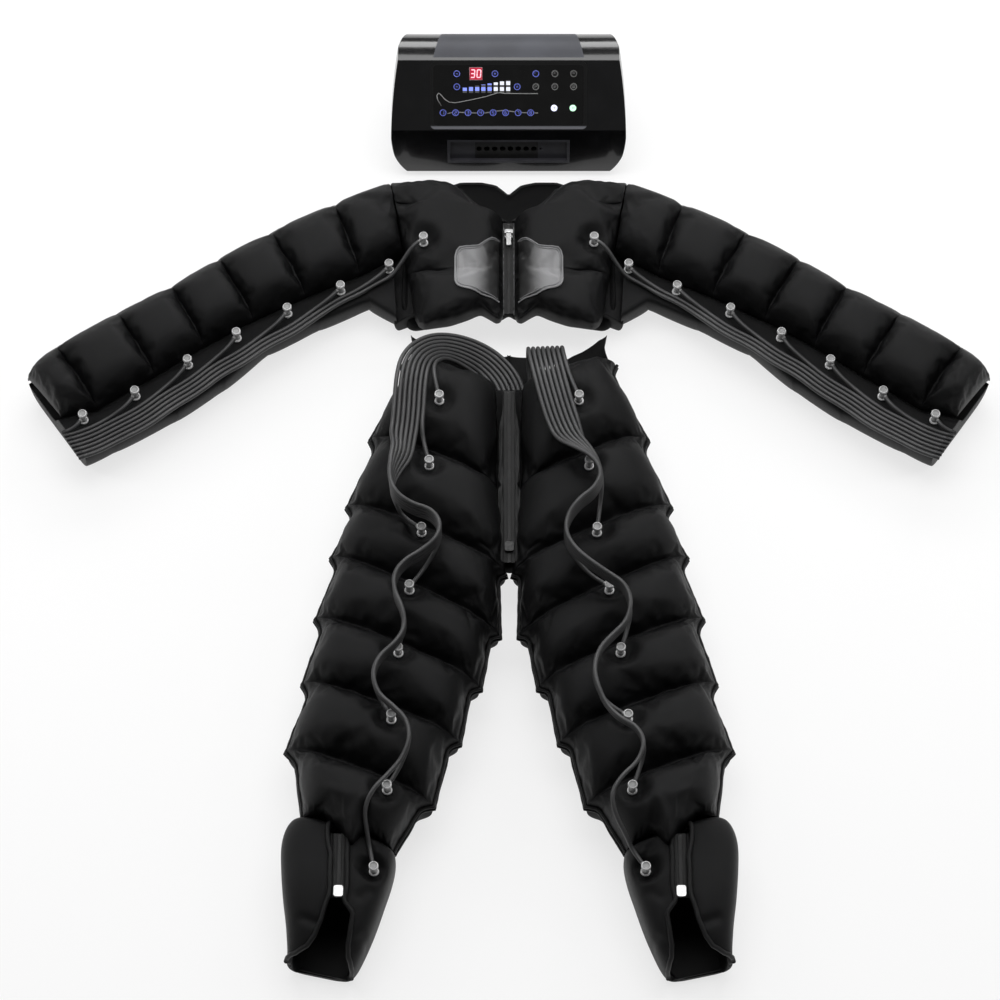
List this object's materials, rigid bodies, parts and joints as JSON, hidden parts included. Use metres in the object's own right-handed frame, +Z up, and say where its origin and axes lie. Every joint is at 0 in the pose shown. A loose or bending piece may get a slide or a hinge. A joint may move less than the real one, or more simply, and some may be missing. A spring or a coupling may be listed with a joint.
{
  "type": "pressotherapy suit",
  "caption": "Air-compression massage suit laid out flat: padded jacket and trousers with air chambers, hoses and fittings, plus a tabletop control console.",
  "frame": {"origin": "on the floor, under the middle of the laid-out set's box", "axes": "+Z up, +Y from the toes to the console, +X to the picture's right"},
  "size_m": [1.458, 1.557, 0.1971],
  "materials": {
    "case_gloss": "glossy",
    "band_satin": "satin",
    "bezel_satin": "satin",
    "panel_glass": "glossy",
    "display_red": "glossy",
    "bar_light": "glossy",
    "outlet_grey": "satin",
    "socket_black": "matte",
    "pump_metal": "cast",
    "rubber_black": "matte",
    "housing_plastic": "satin",
    "board_green": "matte",
    "screw_steel": "bright",
    "tube_clear": "satin",
    "zip_tape": "woven",
    "slider_chrome": "polished",
    "slider_dark": "satin",
    "fitting_grey": "satin",
    "end_black": "matte",
    "key_cap": "glossy",
    "nylon_black": "coated nylon, half glossy",
    "hose_rubber": "satin"
  },
  "bodies": {
    "set": {"air_distributor": "housing_plastic", "air_pump": "pump_metal", "case_screws": "screw_steel", "console_base": "case_gloss", "console_cover": "case_gloss", "control_panel": "panel_glass", "display_lens": "display_red", "distributor_motor": "pump_metal", "hose_ends": "end_black", "hose_fittings": "fitting_grey", "inner_tubes": "tube_clear", "jacket_back": "nylon_black", "jacket_front": "nylon_black", "key_board": "board_green", "left_boot": "nylon_black", "left_leg": "nylon_black", "left_leg_hoses": "hose_rubber", "left_sleeve": "nylon_black", "left_sleeve_hoses": "hose_rubber", "level_bars": "bar_light", "main_board": "board_green", "outlet_manifold": "outlet_grey", "outlet_sockets": "socket_black", "panel_bezel": "bezel_satin", "power_inlet": "socket_black", "pump_mounts": "rubber_black", "right_boot": "nylon_black", "right_leg": "nylon_black", "right_leg_hoses": "hose_rubber", "right_sleeve": "nylon_black", "right_sleeve_hoses": "hose_rubber", "rubber_feet": "rubber_black", "top_band": "band_satin", "zip_tapes": "zip_tape"},
    "mode_key_1": {"mode_key_1": "key_cap"},
    "mode_key_2": {"mode_key_2": "key_cap"},
    "mode_key_3": {"mode_key_3": "key_cap"},
    "mode_key_4": {"mode_key_4": "key_cap"},
    "mode_key_5": {"mode_key_5": "key_cap"},
    "mode_key_6": {"mode_key_6": "key_cap"},
    "power_key": {"power_key": "key_cap"},
    "pressure_minus_key": {"pressure_minus_key": "key_cap"},
    "pressure_plus_key": {"pressure_plus_key": "key_cap"},
    "start_key": {"start_key": "key_cap"},
    "time_minus_key": {"time_minus_key": "key_cap"},
    "time_plus_key": {"time_plus_key": "key_cap"},
    "zone_key_1": {"zone_key_1": "key_cap"},
    "zone_key_2": {"zone_key_2": "key_cap"},
    "zone_key_3": {"zone_key_3": "key_cap"},
    "zone_key_4": {"zone_key_4": "key_cap"},
    "zone_key_5": {"zone_key_5": "key_cap"},
    "zone_key_6": {"zone_key_6": "key_cap"},
    "zone_key_7": {"zone_key_7": "key_cap"},
    "zone_key_8": {"zone_key_8": "key_cap"},
    "distributor_disc": {"distributor_disc": "housing_plastic"},
    "jacket_pull": {"jacket_pull": "slider_chrome"},
    "jacket_slider": {"jacket_slider": "slider_chrome"},
    "fly_slider": {"fly_slider": "slider_dark"},
    "left_boot_slider": {"left_boot_slider": "slider_chrome"},
    "right_boot_slider": {"right_boot_slider": "slider_chrome"}
  },
  "joints": [
    {"name": "mode_key_1_press", "type": "slide", "parent": "set", "child": "mode_key_1", "axis": [0, 0.7071, -0.7071], "range_m": [0, 0.0006], "stiffness_N_per_m": 400},
    {"name": "mode_key_2_press", "type": "slide", "parent": "set", "child": "mode_key_2", "axis": [0, 0.7071, -0.7071], "range_m": [0, 0.0006], "stiffness_N_per_m": 400},
    {"name": "mode_key_3_press", "type": "slide", "parent": "set", "child": "mode_key_3", "axis": [0, 0.7071, -0.7071], "range_m": [0, 0.0006], "stiffness_N_per_m": 400},
    {"name": "mode_key_4_press", "type": "slide", "parent": "set", "child": "mode_key_4", "axis": [0, 0.7071, -0.7071], "range_m": [0, 0.0006], "stiffness_N_per_m": 400},
    {"name": "mode_key_5_press", "type": "slide", "parent": "set", "child": "mode_key_5", "axis": [0, 0.7071, -0.7071], "range_m": [0, 0.0006], "stiffness_N_per_m": 400},
    {"name": "mode_key_6_press", "type": "slide", "parent": "set", "child": "mode_key_6", "axis": [0, 0.7071, -0.7071], "range_m": [0, 0.0006], "stiffness_N_per_m": 400},
    {"name": "power_key_press", "type": "slide", "parent": "set", "child": "power_key", "axis": [0, 0.7071, -0.7071], "range_m": [0, 0.0006], "stiffness_N_per_m": 400},
    {"name": "pressure_minus_key_press", "type": "slide", "parent": "set", "child": "pressure_minus_key", "axis": [0, 0.7071, -0.7071], "range_m": [0, 0.0006], "stiffness_N_per_m": 400},
    {"name": "pressure_plus_key_press", "type": "slide", "parent": "set", "child": "pressure_plus_key", "axis": [0, 0.7071, -0.7071], "range_m": [0, 0.0006], "stiffness_N_per_m": 400},
    {"name": "start_key_press", "type": "slide", "parent": "set", "child": "start_key", "axis": [0, 0.7071, -0.7071], "range_m": [0, 0.0006], "stiffness_N_per_m": 400},
    {"name": "time_minus_key_press", "type": "slide", "parent": "set", "child": "time_minus_key", "axis": [0, 0.7071, -0.7071], "range_m": [0, 0.0006], "stiffness_N_per_m": 400},
    {"name": "time_plus_key_press", "type": "slide", "parent": "set", "child": "time_plus_key", "axis": [0, 0.7071, -0.7071], "range_m": [0, 0.0006], "stiffness_N_per_m": 400},
    {"name": "zone_key_1_press", "type": "slide", "parent": "set", "child": "zone_key_1", "axis": [0, 0.7071, -0.7071], "range_m": [0, 0.0006], "stiffness_N_per_m": 400},
    {"name": "zone_key_2_press", "type": "slide", "parent": "set", "child": "zone_key_2", "axis": [0, 0.7071, -0.7071], "range_m": [0, 0.0006], "stiffness_N_per_m": 400},
    {"name": "zone_key_3_press", "type": "slide", "parent": "set", "child": "zone_key_3", "axis": [0, 0.7071, -0.7071], "range_m": [0, 0.0006], "stiffness_N_per_m": 400},
    {"name": "zone_key_4_press", "type": "slide", "parent": "set", "child": "zone_key_4", "axis": [0, 0.7071, -0.7071], "range_m": [0, 0.0006], "stiffness_N_per_m": 400},
    {"name": "zone_key_5_press", "type": "slide", "parent": "set", "child": "zone_key_5", "axis": [0, 0.7071, -0.7071], "range_m": [0, 0.0006], "stiffness_N_per_m": 400},
    {"name": "zone_key_6_press", "type": "slide", "parent": "set", "child": "zone_key_6", "axis": [0, 0.7071, -0.7071], "range_m": [0, 0.0006], "stiffness_N_per_m": 400},
    {"name": "zone_key_7_press", "type": "slide", "parent": "set", "child": "zone_key_7", "axis": [0, 0.7071, -0.7071], "range_m": [0, 0.0006], "stiffness_N_per_m": 400},
    {"name": "zone_key_8_press", "type": "slide", "parent": "set", "child": "zone_key_8", "axis": [0, 0.7071, -0.7071], "range_m": [0, 0.0006], "stiffness_N_per_m": 400},
    {"name": "distributor_turn", "type": "hinge", "parent": "set", "child": "distributor_disc", "pos_m": [-0.0032, 0.70201, 0.047], "axis": [0, 0, 1], "continuous": true},
    {"name": "jacket_zip", "type": "slide", "parent": "set", "child": "jacket_slider", "axis": [0, -1, 0], "range_m": [-0.015, 0.137]},
    {"name": "jacket_pull_flip", "type": "hinge", "parent": "jacket_slider", "child": "jacket_pull", "pos_m": [0, 0.43619, 0.0675], "axis": [-1, 0, 0], "range_deg": [0, 150]},
    {"name": "fly_zip", "type": "slide", "parent": "set", "child": "fly_slider", "axis": [0, 1, 0], "range_m": [0, 0.261]},
    {"name": "left_boot_zip", "type": "slide", "parent": "set", "child": "left_boot_slider", "axis": [0, 0.9979, 0.0642], "range_m": [0, 0.075]},
    {"name": "right_boot_zip", "type": "slide", "parent": "set", "child": "right_boot_slider", "axis": [0, 0.9979, 0.0642], "range_m": [0, 0.075]}
  ]
}
